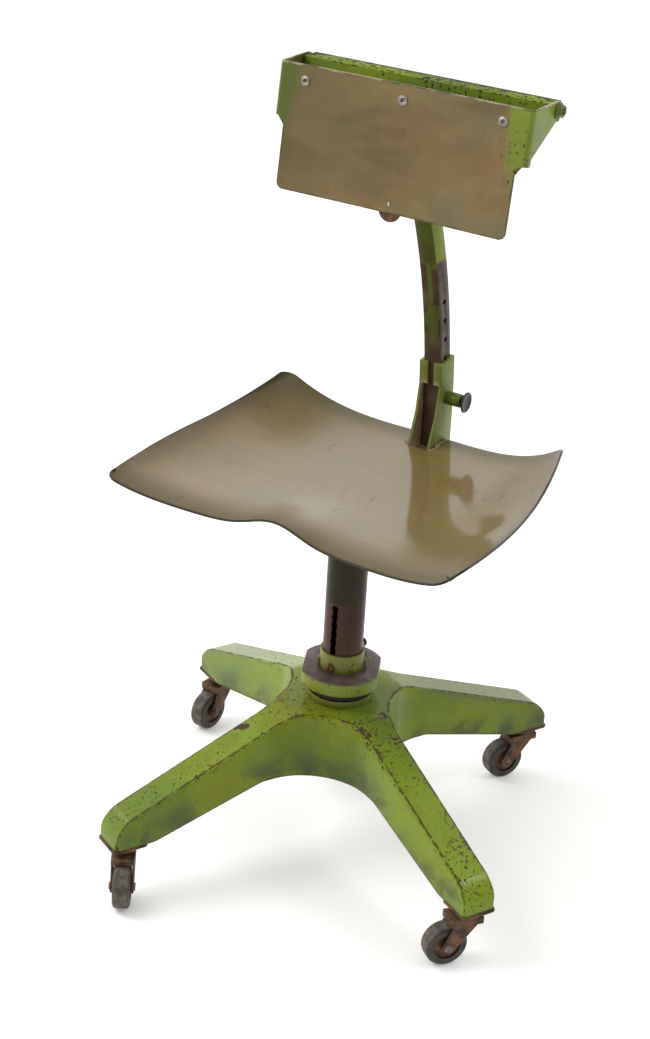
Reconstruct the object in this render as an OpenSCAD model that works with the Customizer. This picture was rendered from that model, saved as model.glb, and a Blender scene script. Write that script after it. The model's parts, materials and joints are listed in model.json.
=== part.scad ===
// Steel drafting chair on a four-leg pressed base with swivelling casters.
// +Z is up, the origin is on the floor under the column, and the sitter faces -Y.

/* [Base] */
// Distance from the column axis to the end of a leg
leg_reach = 307; // [300:1:315]
// Half the width of a leg
leg_half = 21.3; // [20:0.1:22]
// Height of the flat top of the hub
hub_top = 195; // [190:1:195]
// Distance from the axis at which a leg starts to fall
crease = 72; // [68:1:76]
// Height of a leg's top at its end
leg_end_top = 102.7; // [98:0.1:108]
// Height of a leg's lower edge at its end
leg_end_low = 73.4; // [73.4:0.1:74]
// Height of the lower edge of the webs between the legs
web_low = 113; // [108:1:118]
// Radius of the webs between the legs, in plan
web_r = 83; // [78:1:88]
// Thickness of the base's steel
base_sheet = 3; // [2:0.5:4]
// Radius at the top of a leg's end
leg_end_round = 40; // [36:1:42]
// Radius of the upright corners at a leg's end
leg_corner = 4.5; // [4:0.5:8]
// Angle of the front right leg from the chair's left side
leg_turn = -26.8; // [-45:0.1:0]

/* [Casters] */
// Radius of a caster wheel
wheel_r = 25.4; // [24:0.1:26]
// Width of a caster wheel
wheel_w = 20; // [18:0.5:20]
// Distance from the column axis to a caster's stem
stem_at = 285; // [280:1:286]
// Distance from a caster's stem to its wheel's axle
trail = 25.4; // [24:0.1:27]

/* [Column] */
// Outer radius of the column
column_r = 23.8; // [22:0.1:24]
// Height of the column's lower end
column_low = 120; // [118:1:130]
// Pitch of the notches in the column's slot
notch_pitch = 11; // [10:0.5:12]
// Height of the guide screw
guide_z = 239.9; // [239:0.1:241]

/* [Seat] */
// Half the seat's width at the rear corners
seat_rear_half = 191; // [180:1:200]
// How much wider each side is at the front corners
seat_flare = 25; // [15:1:30]
// Thickness of the seat's steel
seat_sheet = 2.5; // [2:0.1:3]

/* [Backrest] */
// Radius of the curved post's centre line
post_arc_r = 719.5; // [715:0.5:725]
// Width of the post
post_w = 22.2; // [20:0.1:22.2]
// Depth of the post
post_d = 23; // [20:0.5:23]
// Distance between two height holes along the post
hole_pitch = 25.4; // [24:0.1:26]
// Angle by which the backrest leans back
pan_lean = 7.6; // [6:0.1:9]
// Half the width of the backrest across its flaps
pan_half = 155.6; // [150:0.1:160]
// Half the width of the backrest below its shoulders
pan_low_half = 143.1; // [138:0.1:148]
// Thickness of the backrest's steel
pan_sheet = 2; // [1.5:0.1:2.5]
// Depth of the hollow across the backrest's face
pan_dish = 3; // [1:0.5:6]

/* [Hidden] */
$fn = 64;

leg_green = [0.47, 0.55, 0.24];
bare_brown = [0.3, 0.23, 0.17];
rust = [0.4, 0.26, 0.16];
dark_steel = [0.24, 0.22, 0.2];
worn_tan = [0.62, 0.57, 0.47];
zinc = [0.55, 0.53, 0.5];
rubber = [0.2, 0.19, 0.18];

move_gap = 0.3;               // gap kept between curved faces that move past each other
run_fit = 0.05;               // radial clearance of a running fit

socket_in = column_r + run_fit;
socket_out = 26.2;
socket_low = 104;
socket_top = 256;
sleeve_in = socket_out + run_fit;
sleeve_out = 30;
ring_top = 234;
ring_low = 216;
ring_r = 51;
ring_flat = 45;               // distance from the axis to the ring's two flats
ring_turn = 25;
race_out = 41;
race_gap_z = 205;             // height of the ball centres
race_r = 35.5;
ball_r = 4;

// Each caster: the leg it stands under, and the way its wheel trails
LEGS = [leg_turn - 90, leg_turn, leg_turn + 90, leg_turn + 180];
TRAILS = [301.5, 231.9, 238.3, 263.6];
stem_r = 5.5;
axle_r = 3.1;
fork_in = 11.2;
fork_t = 2.2;
plate_low = leg_end_low - 3;

arc_y = -531;                 // centre of the post's curve, behind and below the seat
arc_z = 470;
plunger_turn = 3.85;          // angle of the locking hole along the post's curve
hole_turn = hole_pitch / post_arc_r * 180 / PI;
post_low_turn = -1.4;
post_top_turn = 33;
post_gap = 0.4;
bracket_t = 3.5;
bracket_in = post_w / 2 + post_gap;
bracket_out = bracket_in + bracket_t;
plunger_y = arc_y + post_arc_r * cos(plunger_turn);
plunger_z = arc_z + post_arc_r * sin(plunger_turn);
height_plunger_z = 241.5;

pivot_y = 110;
pivot_z = 907;
pan_foot_y = 34.6;
pan_foot_z = 779.9;
pan_top_z = 918;
pan_shoulder_z = 858.9;
pan_high = (pan_top_z - pan_foot_z) / cos(pan_lean);
pan_shoulder = (pan_shoulder_z - pan_foot_z) / cos(pan_lean);

// ---------- base ----------

// Half of the side view of two opposite legs, inset by t, with its low edge open when t > 0
function leg_side(t) =
    let (
        fall = (hub_top - leg_end_top) / (leg_reach - crease),
        lean = atan(fall),
        r = leg_end_round - t,
        end_x = leg_reach - t,
        round_x = end_x - r,
        round_z = hub_top - t - fall * (round_x - crease) - r / cos(lean),
        low = t > 0 ? leg_end_low - 20 : leg_end_low,
        shoulder = [for (i = [0 : 8]) let (a = (90 - lean) * (1 - i / 8))
            [round_x + r * cos(a), round_z + r * sin(a)]]
    )
    concat([[crease, hub_top - t]], shoulder, [[end_x, low]]);

function mirror_x(pts) = [for (i = [len(pts) - 1 : -1 : 0]) [-pts[i][0], pts[i][1]]];

module leg_beam(t) {
    half = leg_side(t);
    low = t > 0 ? leg_end_low - 20 : web_low;
    foot = t > 0 ? [] : [[258, leg_end_low], [118, low]];
    rotate([90, 0, 0])
        linear_extrude(2 * (crease - t), center = true)
            polygon(concat(half, foot, mirror_x(foot), mirror_x(half)));
}

module base_plan(t) {
    c = leg_half + web_r;
    corner = leg_corner - t;
    for (turn = [0, 90])
        rotate(turn) {
            square([2 * (leg_reach - leg_corner), 2 * (leg_half - t)], center = true);
            for (side = [-1, 1])
                translate([side * (leg_reach - leg_corner), 0]) {
                    square([2 * corner, 2 * (leg_half - leg_corner)], center = true);
                    for (edge = [-1, 1])
                        translate([0, edge * (leg_half - leg_corner)]) circle(corner);
                }
        }
    difference() {
        square(2 * c, center = true);
        for (x = [-c, c], y = [-c, c])
            translate([x, y]) circle(web_r + t, $fn = 96);
    }
}

module base_solid(t) {
    intersection() {
        linear_extrude(hub_top + 5) base_plan(t);
        union() {
            leg_beam(t);
            rotate(90) leg_beam(t);
        }
    }
}

module base_shell() {
    color(leg_green) rotate(leg_turn) difference() {
        base_solid(0);
        base_solid(base_sheet);
        translate([0, 0, hub_top - 10]) cylinder(r = sleeve_out, h = 20);
    }
}

module ring(r_in, r_out, low, high) {
    translate([0, 0, low]) difference() {
        cylinder(r = r_out, h = high - low);
        translate([0, 0, -1]) cylinder(r = r_in, h = high - low + 2);
    }
}

module hub_reinforcement() {
    color(dark_steel) ring(sleeve_out, 56, hub_top - base_sheet - 5, hub_top - base_sheet);
}

module pivot_sleeve() {
    color(dark_steel) ring(sleeve_in, sleeve_out, 116, hub_top + 8);
}

module ball_groove(r) {
    translate([0, 0, race_gap_z]) rotate_extrude() translate([race_r, 0]) circle(r, $fn = 32);
}

module lower_race() {
    color(bare_brown) difference() {
        ring(sleeve_out, race_out, hub_top, hub_top + 9);
        ball_groove(ball_r + 0.02);
    }
}

module upper_race() {
    color(bare_brown) difference() {
        ring(socket_out, race_out, race_gap_z + 1, ring_low);
        ball_groove(ball_r + move_gap);
    }
}

module bearing_balls() {
    balls = 18;
    color(zinc) for (i = [0 : balls - 1])
        rotate(i * 360 / balls)
            translate([race_r, 0, race_gap_z]) sphere(ball_r, $fn = 24);
}

// ---------- casters ----------

module at_stem(i) {
    rotate(LEGS[i]) translate([stem_at, 0, 0]) children();
}

// Puts its child on a caster, with local +X pointing to the wheel
module on_caster(i) {
    at_stem(i) rotate(TRAILS[i] - LEGS[i]) children();
}

module caster_plates() {
    r = 6;
    color(rust) for (i = [0 : 3]) at_stem(i) translate([0, 0, plate_low])
        linear_extrude(leg_end_low - plate_low) difference() {
            union() {
                translate([-21, r - 22.3]) square([45, 44.6 - 2 * r]);
                translate([r - 21, -22.3]) square([45 - 2 * r, 44.6]);
                for (x = [r - 21, 24 - r], y = [r - 22.3, 22.3 - r]) translate([x, y]) circle(r);
            }
            circle(9);
        }
}

module caster_sockets() {
    color(dark_steel) for (i = [0 : 3]) at_stem(i) ring(stem_r + run_fit, 9, plate_low, 101);
}

module fork_arm() {
    rotate([90, 0, 0]) linear_extrude(fork_t, center = true) difference() {
        union() {
            polygon([[-15, 61], [16, 61], [trail + 7.6, wheel_r + 2.6], [trail - 6.2, wheel_r - 5]]);
            translate([trail, wheel_r]) circle(8);
        }
        translate([trail, wheel_r]) circle(axle_r);
    }
}

module caster_fork(i) {
    color(rust) on_caster(i) {
        for (side = [-1, 1])
            translate([0, side * (fork_in + fork_t / 2), 0]) fork_arm();
        translate([-15, -fork_in - fork_t, 52.3])
            cube([39, 2 * (fork_in + fork_t), 8.7]);
        translate([0, 0, 61]) cylinder(r1 = 12, r2 = 15, h = 3);
        translate([0, 0, 64]) cylinder(r = 16.5, h = plate_low - 65);
        cylinder_at(stem_r, 61, 99);
    }
}

module cylinder_at(r, low, high) {
    translate([0, 0, low]) cylinder(r = r, h = high - low);
}

module caster_axle(i) {
    head = fork_in + fork_t;
    color(zinc) on_caster(i) translate([trail, 0, wheel_r]) rotate([90, 0, 0]) {
        cylinder(r = axle_r, h = 2 * head, center = true);
        for (turn = [0, 180])
            rotate([turn, 0, 0]) translate([0, 0, head]) cylinder(r1 = 5.6, r2 = 4.2, h = 2);
    }
}

module wheel_profile(r_in, r_out, w, round_r) {
    translate([r_in, -w / 2]) square([r_out - round_r - r_in, w]);
    translate([r_in, round_r - w / 2]) square([r_out - r_in, w - 2 * round_r]);
    for (y = [-1, 1])
        translate([r_out - round_r, y * (w / 2 - round_r)]) circle(round_r, $fn = 32);
}

module in_wheel(i) {
    on_caster(i) translate([trail, 0, wheel_r]) rotate([90, 0, 0]) children();
}

module wheel_tyre(i) {
    color(rubber) in_wheel(i) rotate_extrude($fn = 96) wheel_profile(16, wheel_r, wheel_w, 4.5);
}

module wheel_core(i) {
    color(rust) in_wheel(i) rotate_extrude() {
        translate([axle_r + run_fit, -7]) square([16 - axle_r - run_fit, 14]);
        translate([axle_r + run_fit, -10.8]) square([4.4, 21.6]);
    }
}

// ---------- swivel head ----------

module swivel_ring() {
    color(leg_green) difference() {
        translate([0, 0, ring_low]) linear_extrude(ring_top - ring_low) intersection() {
            circle(ring_r, $fn = 96);
            rotate(ring_turn) square([2 * ring_flat, 2 * ring_r], center = true);
        }
        cylinder(r = socket_out, h = 300);
    }
}

module across_y(r, y0, y1, z) {
    translate([0, y0, z]) rotate([-90, 0, 0]) cylinder(r = r, h = y1 - y0);
}

module socket_tube() {
    color(leg_green) difference() {
        ring(socket_in, socket_out, socket_low, socket_top);
        across_y(3, -40, 0, guide_z);
        across_y(3.3, 0, 40, height_plunger_z);
        for (turn = [-30, 30, 150, 210])
            rotate(turn) translate([20, 0, guide_z]) rotate([0, 90, 0]) cylinder(r = 2.5, h = 10);
    }
}

module retaining_ring() {
    color(dark_steel) ring(socket_out, 32, 107, 113);
}

module guide_screw() {
    color(bare_brown) difference() {
        union() {
            across_y(2.2, -socket_out, -20.4, guide_z);
            across_y(3, -socket_out, -24.2, guide_z);
            across_y(5.2, -29.4, -socket_out, guide_z);
        }
        translate([-0.7, -30, guide_z - 6]) cube([1.4, 1.8, 12]);
    }
}

module collar_rivets() {
    color(leg_green) for (turn = [-30, 30, 150, 210])
        rotate(turn) translate([0, 0, guide_z]) rotate([0, 90, 0]) {
            translate([0, 0, 24.2]) cylinder(r = 2.5, h = 2.1);
            translate([0, 0, socket_out]) cylinder(r1 = 4.6, r2 = 3, h = 2.4);
        }
}

// ---------- spring plungers, drawn along +Z from the wall that they lock ----------

pin_r = 3.1;
height_room = 11;             // length of the spring's chamber
height_chamber = 4.8;
height_knob = 6;
height_face = 27;
back_room = 16;
back_chamber = 6;
back_knob = 13;

module plunger_housing(room, chamber_r, wall) {
    difference() {
        cylinder(r = chamber_r + wall, h = room + 4);
        translate([0, 0, -1]) cylinder(r = chamber_r, h = room + 1);
        cylinder(r = pin_r + run_fit, h = 40);
    }
}

module plunger_pin(tip, room, chamber_r) {
    translate([0, 0, tip]) cylinder(r = pin_r, h = room + 8.4 - tip);
    translate([0, 0, 0.6]) cylinder(r = chamber_r - 0.3, h = 1.6);
}

// A knob with a dished end
module plunger_knob(room, r) {
    dish_a = r - 1.6;
    dish_d = 2;
    dish_ball = (dish_a * dish_a + dish_d * dish_d) / (2 * dish_d);
    translate([0, 0, room + 6]) difference() {
        union() {
            cylinder(r1 = 0.55 * r, r2 = r, h = 3.4);
            translate([0, 0, 3.4]) cylinder(r1 = r, r2 = r - 0.8, h = 1.8);
        }
        cylinder(r = pin_r, h = 2.4);
        translate([0, 0, 5.2 - dish_d + dish_ball]) sphere(dish_ball, $fn = 48);
    }
}

function coil_point(turn, r, pitch) = [r * cos(turn), r * sin(turn), turn / 360 * pitch];

module plunger_spring(room, coil_r, turns) {
    wire = 0.55;
    low = 2.9;
    pitch = (room - low - 2 * wire) / turns;
    sides = 6;
    steps = 12 * turns;
    pts = [for (i = [0 : steps], k = [0 : sides - 1])
        let (turn = i * 30, c = coil_point(turn, coil_r, pitch), a = k * 360 / sides)
        [c[0] + wire * cos(a) * cos(turn), c[1] + wire * cos(a) * sin(turn),
            low + wire + c[2] + wire * sin(a)]];
    walls = [for (i = [0 : steps - 1], k = [0 : sides - 1])
        let (n = (k + 1) % sides)
        [i * sides + k, (i + 1) * sides + k, (i + 1) * sides + n, i * sides + n]];
    ends = [[for (k = [0 : sides - 1]) k], [for (k = [sides - 1 : -1 : 0]) steps * sides + k]];
    polyhedron(pts, concat(walls, ends), convexity = 10);
}

module at_height_plunger() {
    translate([0, height_face, height_plunger_z]) rotate([-90, 0, 0]) children();
}

module at_back_plunger() {
    translate([bracket_out, plunger_y, plunger_z]) rotate([0, 90, 0]) children();
}

module height_plunger_housing() {
    wall = 1.4;
    color(leg_green) union() {
        at_height_plunger() plunger_housing(height_room, height_chamber, wall);
        difference() {
            across_y(height_chamber + wall, 22, height_face, height_plunger_z);
            across_y(pin_r + run_fit, 20, 40, height_plunger_z);
            translate([0, 0, height_plunger_z - 20]) cylinder(r = socket_out, h = 40);
        }
    }
}

module height_plunger_pin() {
    color(zinc) at_height_plunger() plunger_pin(-2.8, height_room, height_chamber);
}

module height_plunger_knob() {
    color(dark_steel) at_height_plunger() plunger_knob(height_room, height_knob);
}

module height_plunger_spring() {
    color(zinc) at_height_plunger() plunger_spring(height_room, height_chamber - 0.8, 3.5);
}

module back_plunger_housing() {
    color(leg_green) at_back_plunger() plunger_housing(back_room, back_chamber, 2.2);
}

module back_plunger_pin() {
    color(zinc) at_back_plunger()
        plunger_pin(-bracket_t - post_gap + 0.1, back_room, back_chamber);
}

module back_plunger_knob() {
    color(dark_steel) at_back_plunger() plunger_knob(back_room, back_knob);
}

module back_plunger_spring() {
    color(zinc) at_back_plunger() plunger_spring(back_room, back_chamber - 1, 5);
}

// ---------- column and seat ----------

plate_top = 453.4;
plate_t = 5;
notches = 12;
top_notch = guide_z + 7 * notch_pitch;

module column_tube() {
    bottom_notch = top_notch - (notches - 1) * notch_pitch;
    color([0.2, 0.17, 0.1]) difference() {
        ring(column_r - 3, column_r, column_low, plate_top - plate_t);
        translate([-3.4, -30, bottom_notch]) cube([6.8, 20, top_notch - bottom_notch]);
        for (i = [0 : notches - 1]) {
            across_y(4.4, -30, 0, top_notch - i * notch_pitch);
            across_y(3.6, 0, 30, top_notch - i * notch_pitch + height_plunger_z - guide_z);
        }
    }
}

module seat_frame() {
    bar_t = 5;
    bar_low = 424;
    color(dark_steel) {
        translate([-46, -50, plate_top - plate_t]) cube([92, 100, plate_t]);
        for (side = [-1, 1]) difference() {
            translate([side * (bracket_out + bar_t / 2) - bar_t / 2, -46, bar_low])
                cube([bar_t, 246, plate_top - plate_t - bar_low]);
            cylinder(r = column_r, h = plate_top - plate_t);
        }
    }
}

// Seat surface, with u from -1 to 1 across and v from 0 at the front to 1 at the rear
corner_u = 0.93;
function corner_cut(u) =
    let (t = max(0, (abs(u) - corner_u) / (1 - corner_u)))
    16 * (1 - sqrt(1 - t * t));
function seat_rear_y(u) = 188.5 - 34 * u * u - corner_cut(u);
function seat_front_y(u) = -167 - 16 * pow(abs(u), 1.8) + corner_cut(u);
function seat_half(v) = seat_rear_half + seat_flare * (1 - v) + 60 * v * (1 - v);
function seat_mid_z(v) = 467 - 5 * v - 30 * v * (1 - v);
function seat_side_z(v) = 485 + 28 * pow(v, 4);
function seat_bend(v) = 5 - 1.8 * v + 4 * v * (1 - v);
function pommel_z(x, v) = 17 * exp(-pow(x / 42, 2)) * pow(max(0, 1 - v / 0.45), 2);
function seat_z(u, v) =
    seat_mid_z(v) + (seat_side_z(v) - seat_mid_z(v)) * pow(abs(u), seat_bend(v))
    + pommel_z(u * seat_half(v), v);
function seat_point(u, v) = [
    u * seat_half(v),
    seat_front_y(u) + (seat_rear_y(u) - seat_front_y(u)) * v,
    seat_z(u, v)
];

// Columns crowd towards the sides, where the corners turn
function spread(t) = sin(90 * t) * 0.5 + t * 0.5;

module seat_sheet_solid() {
    nu = 34;
    nv = 26;
    us = [for (i = [0 : nu]) spread(2 * i / nu - 1)];
    top = [for (j = [0 : nv], i = [0 : nu]) seat_point(us[i], j / nv)];
    low = [for (p = top) [p[0], p[1], p[2] - seat_sheet]];
    n = (nu + 1) * (nv + 1);
    function at(i, j) = j * (nu + 1) + i;
    tops = [for (j = [0 : nv - 1], i = [0 : nu - 1], half = [0, 1]) half == 0
        ? [at(i, j), at(i + 1, j + 1), at(i + 1, j)]
        : [at(i, j), at(i, j + 1), at(i + 1, j + 1)]];
    lows = [for (f = tops) [f[2] + n, f[1] + n, f[0] + n]];
    rim = concat(
        [for (i = [0 : nu - 1]) at(i, 0)],
        [for (j = [0 : nv - 1]) at(nu, j)],
        [for (i = [nu : -1 : 1]) at(i, nv)],
        [for (j = [nv : -1 : 1]) at(0, j)]);
    walls = [for (k = [0 : len(rim) - 1]) let (a = rim[k], b = rim[(k + 1) % len(rim)])
        [a, b, b + n, a + n]];
    polyhedron(concat(top, low), concat(tops, lows, walls), convexity = 6);
}

module seat_pan() {
    color(worn_tan) difference() {
        seat_sheet_solid();
        translate([-bracket_out - 0.2, 148, 400])
            cube([2 * bracket_out + 0.4, 60, 120]);
    }
}

// ---------- backrest post and its bracket ----------

// Sweeps a section drawn as [distance from the curve's centre, x] about that centre
module along_post(from, to) {
    translate([0, arc_y, arc_z]) rotate([90, 0, 90]) rotate(from)
        rotate_extrude(angle = to - from, $fn = 720) children();
}

module post_section(half_d, half_w) {
    translate([post_arc_r - half_d, -half_w]) square([2 * half_d, 2 * half_w]);
}

// Points of an arc about the curve's centre, in the side view
function arc_points(r, from, to) = [for (i = [0 : 12])
    let (turn = from + (to - from) * i / 12)
    [arc_y + r * cos(turn), arc_z + r * sin(turn)]];

// A plate cut to a side view, from x = low to x = high
module side_plate(low, high, points) {
    translate([low, 0, 0]) rotate([90, 0, 90]) linear_extrude(high - low) polygon(points);
}

module bracket_channel() {
    r_back = post_arc_r + post_d / 2 + post_gap;
    r_front = post_arc_r - post_d / 2 - post_gap;
    lip_low = 5.4;
    top = 7.75;
    foot = -3.6;
    lip_gap = 4;
    wall = concat(
        arc_points(r_back + bracket_t, foot, top),
        arc_points(r_front - bracket_t, top, lip_low),
        [[165, 500], [152, 462], [152, 428]]);
    back = concat(arc_points(r_back + bracket_t, foot, top), arc_points(r_back, top, foot));
    lip = concat(
        arc_points(r_front - bracket_t, top, lip_low), arc_points(r_front, lip_low, top));
    color(leg_green) difference() {
        union() {
            side_plate(-bracket_out, -bracket_in, wall);
            side_plate(bracket_in, bracket_out, wall);
            side_plate(-bracket_in, bracket_in, back);
            side_plate(-bracket_in, -lip_gap, lip);
            side_plate(lip_gap, bracket_in, lip);
        }
        at_back_plunger() translate([0, 0, -5]) cylinder(r = pin_r + run_fit, h = 10);
    }
}

module post_tube() {
    wall = 2;
    color(bare_brown) difference() {
        along_post(post_low_turn, post_top_turn) post_section(post_d / 2, post_w / 2);
        along_post(post_low_turn - 1, post_top_turn + 1)
            post_section(post_d / 2 - wall, post_w / 2 - wall);
        for (k = [-1 : 5])
            translate([0, arc_y, arc_z]) rotate([plunger_turn + k * hole_turn, 0, 0])
                translate([0, post_arc_r, 0]) rotate([0, 90, 0]) cylinder(r = 3.4, h = 20);
    }
}

module yoke_gussets() {
    color(leg_green) for (side = [-1, 1])
        translate([side * (post_w / 2 + 1.5), 0, 0]) rotate([90, 0, 90])
            linear_extrude(3, center = true)
                polygon([[72, 828], [100, 822], [122, 893], [98, 893], [84, 869], [64, 864]]);
}

module yoke_bar() {
    half = 152.5;
    color(leg_green) difference() {
        translate([-half, 98, 893]) cube([2 * half, 24, 22]);
        translate([3 - half, 100.5, 892]) cube([2 * half - 6, 19, 20.5]);
        translate([-200, pivot_y, pivot_z]) rotate([0, 90, 0]) cylinder(r = 4, h = 400);
    }
}

module pivot_rod() {
    color(rust) translate([0, pivot_y, pivot_z]) rotate([0, 90, 0]) {
        translate([0, 0, -pan_half - 0.4]) cylinder(r = 4, h = 2 * pan_half + 8);
        translate([0, 0, -pan_half - 4]) cylinder(r1 = 4.5, r2 = 7, h = 3.6);
    }
}

module pivot_nut() {
    color(dark_steel) translate([pan_half + 0.4, pivot_y, pivot_z]) rotate([0, 90, 0])
        difference() {
            union() {
                cylinder(r = 9, h = 1.4);
                cylinder(r = 7.2, h = 6, $fn = 6);
            }
            translate([0, 0, -1]) cylinder(r = 4, h = 10);
        }
}

// Puts its child on the backrest's face: local X across, local Y up the face
module on_pan() {
    translate([0, pan_foot_y, pan_foot_z]) rotate([90 - pan_lean, 0, 0]) children();
}

module pan_outline() {
    r = 8;
    for (side = [-1, 1]) translate([side * (pan_low_half - r), r]) circle(r);
    translate([r - pan_low_half, 0]) square([2 * (pan_low_half - r), 20]);
    translate([-pan_low_half, r]) square([2 * pan_low_half, pan_high - r]);
    polygon([[-pan_half, pan_high], [pan_half, pan_high], [pan_half, pan_shoulder],
        [pan_low_half, pan_shoulder - 9], [-pan_low_half, pan_shoulder - 9],
        [-pan_half, pan_shoulder]]);
}

pad_points = [[-121.3, 122], [0, 122], [121.3, 122]];
rivet_r = 3.2;
bumper_y = 10;                // height of the bumper's rivet above the pan's lower edge
dish_r = pan_low_half * pan_low_half / (2 * pan_dish);

// Place of the pan's front face along its normal, at x across
function pan_face(x) = x * x / (2 * dish_r) - pan_dish;

module backrest_pan() {
    color(worn_tan) difference() {
        union() {
            on_pan() intersection() {
                translate([0, 0, -10]) linear_extrude(20) pan_outline();
                translate([0, -10, dish_r - pan_dish]) rotate([-90, 0, 0]) difference() {
                    cylinder(r = dish_r + pan_sheet, h = 200, $fn = 720);
                    translate([0, 0, -1]) cylinder(r = dish_r, h = 202, $fn = 720);
                }
            }
            for (side = [-1, 1]) pan_flap(side);
        }
        on_pan() for (p = pad_points)
            translate([p[0], p[1], -10]) cylinder(r = rivet_r, h = 20);
        on_pan() translate([0, bumper_y, -10]) cylinder(r = 2, h = 20);
    }
}

module pan_flap(side) {
    ear = 10;
    translate([side * (pan_half - pan_sheet / 2), 0, 0]) rotate([90, 0, 90])
        linear_extrude(pan_sheet, center = true) difference() {
            union() {
                polygon([[52, pan_top_z], [pivot_y, pivot_z + ear], [pivot_y + 8.6, pivot_z - 5],
                    [48, pan_shoulder_z + 3], [44.6, pan_shoulder_z], [45, pan_shoulder_z + 10]]);
                translate([pivot_y, pivot_z]) circle(ear);
            }
            translate([pivot_y, pivot_z]) circle(4 + run_fit);
        }
}

module pad_rivets() {
    color(zinc) on_pan() for (p = pad_points)
        translate([p[0], p[1], pan_face(p[0])]) difference() {
            union() {
                translate([0, 0, -6]) cylinder(r = rivet_r, h = 6.4);
                translate([0, 0, move_gap]) cylinder(r1 = 5.6, r2 = 4.6, h = 0.9);
            }
            translate([0, 0, -10]) cylinder(r = 2, h = 20);
        }
}

module bumper_disc() {
    color(rust) on_pan() translate([0, 4, -pan_dish - pan_sheet - 3.2]) cylinder(r = 14, h = 3);
}

module bumper_rivet() {
    color(zinc) on_pan() translate([0, bumper_y, -pan_dish - pan_sheet]) cylinder(r = 2, h = 3);
}

base_shell();
hub_reinforcement();
pivot_sleeve();
lower_race();
bearing_balls();
caster_plates();
caster_sockets();
caster_fork(0);  // caster_fork_fl
caster_fork(1);  // caster_fork_fr
caster_fork(2);  // caster_fork_br
caster_fork(3);  // caster_fork_bl
caster_axle(0);  // caster_axle_fl
caster_axle(1);  // caster_axle_fr
caster_axle(2);  // caster_axle_br
caster_axle(3);  // caster_axle_bl
wheel_tyre(0);  // wheel_tyre_fl
wheel_tyre(1);  // wheel_tyre_fr
wheel_tyre(2);  // wheel_tyre_br
wheel_tyre(3);  // wheel_tyre_bl
wheel_core(0);  // wheel_core_fl
wheel_core(1);  // wheel_core_fr
wheel_core(2);  // wheel_core_br
wheel_core(3);  // wheel_core_bl
swivel_ring();
socket_tube();
upper_race();
retaining_ring();
guide_screw();
collar_rivets();
height_plunger_housing();
height_plunger_pin();
height_plunger_knob();
height_plunger_spring();
column_tube();
seat_frame();
seat_pan();
bracket_channel();
back_plunger_housing();
back_plunger_pin();
back_plunger_knob();
back_plunger_spring();
post_tube();
yoke_gussets();
yoke_bar();
pivot_rod();
pivot_nut();
backrest_pan();
pad_rivets();
bumper_disc();
bumper_rivet();
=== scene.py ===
"""Looks of the steel drafting chair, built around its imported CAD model.

Lengths are in metres. +Z is up, the origin is on the floor under the column, and the sitter faces -Y.
"""

import json
import math
import random

import bmesh
import bpy
from mathutils import Matrix, Vector

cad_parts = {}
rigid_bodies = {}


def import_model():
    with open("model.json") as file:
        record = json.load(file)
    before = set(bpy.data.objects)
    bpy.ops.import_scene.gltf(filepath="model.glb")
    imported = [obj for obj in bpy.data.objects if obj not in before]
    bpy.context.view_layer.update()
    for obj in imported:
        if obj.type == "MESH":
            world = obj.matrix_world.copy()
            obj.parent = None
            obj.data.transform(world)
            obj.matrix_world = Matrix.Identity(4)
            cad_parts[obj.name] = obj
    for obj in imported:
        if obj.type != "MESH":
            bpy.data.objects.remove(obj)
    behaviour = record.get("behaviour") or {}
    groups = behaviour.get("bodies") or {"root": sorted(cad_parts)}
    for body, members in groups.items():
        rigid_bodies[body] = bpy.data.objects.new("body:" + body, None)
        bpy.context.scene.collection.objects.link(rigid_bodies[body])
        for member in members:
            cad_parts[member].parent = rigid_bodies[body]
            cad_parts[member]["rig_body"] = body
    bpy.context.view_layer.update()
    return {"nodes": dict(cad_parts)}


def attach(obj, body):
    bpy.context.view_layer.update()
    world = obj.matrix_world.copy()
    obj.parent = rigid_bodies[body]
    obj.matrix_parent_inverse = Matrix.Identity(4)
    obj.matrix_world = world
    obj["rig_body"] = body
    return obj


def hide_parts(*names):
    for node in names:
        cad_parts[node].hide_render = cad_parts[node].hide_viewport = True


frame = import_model()

# ---------- camera, light and floor ----------

CAMERA_PLACE = (1.0357, -1.8335, 1.4531)
CAMERA_TURN = 30.27  # degrees that the camera stands round from the chair's front, towards its left
CAMERA_HEIGHT = 26.09  # degrees that it looks down
CAMERA_ROLL = 3.341


def turned(azimuth, elevation, roll):
    """Camera axes, as a rotation, for angles in degrees."""
    a, e, r = (math.radians(v) for v in (azimuth, elevation, roll))
    back = Vector((math.sin(a) * math.cos(e), -math.cos(a) * math.cos(e), math.sin(e)))
    right = Vector((math.cos(a), math.sin(a), 0))
    up = back.cross(right)
    x_axis = math.cos(r) * right + math.sin(r) * up
    y_axis = math.cos(r) * up - math.sin(r) * right
    return Matrix((x_axis, y_axis, back)).transposed()


def added(name, data):
    """A new object in the scene that shows the given data."""
    piece = bpy.data.objects.new(name, data)
    bpy.context.scene.collection.objects.link(piece)
    return piece


def add_camera():
    lens = bpy.data.cameras.new("camera")
    lens.lens = 70.836
    lens.sensor_width = 36
    camera = added("camera", lens)
    turn = turned(CAMERA_TURN, CAMERA_HEIGHT, CAMERA_ROLL).to_4x4()
    camera.matrix_world = Matrix.Translation(CAMERA_PLACE) @ turn
    bpy.context.scene.camera = camera


def add_light(name, place, aim, size, power):
    lamp = bpy.data.lights.new(name, "AREA")
    lamp.size = size
    lamp.energy = power
    light = added(name, lamp)
    light.location = place
    light.rotation_euler = (Vector(place) - Vector(aim)).to_track_quat("Z", "Y").to_euler()


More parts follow.
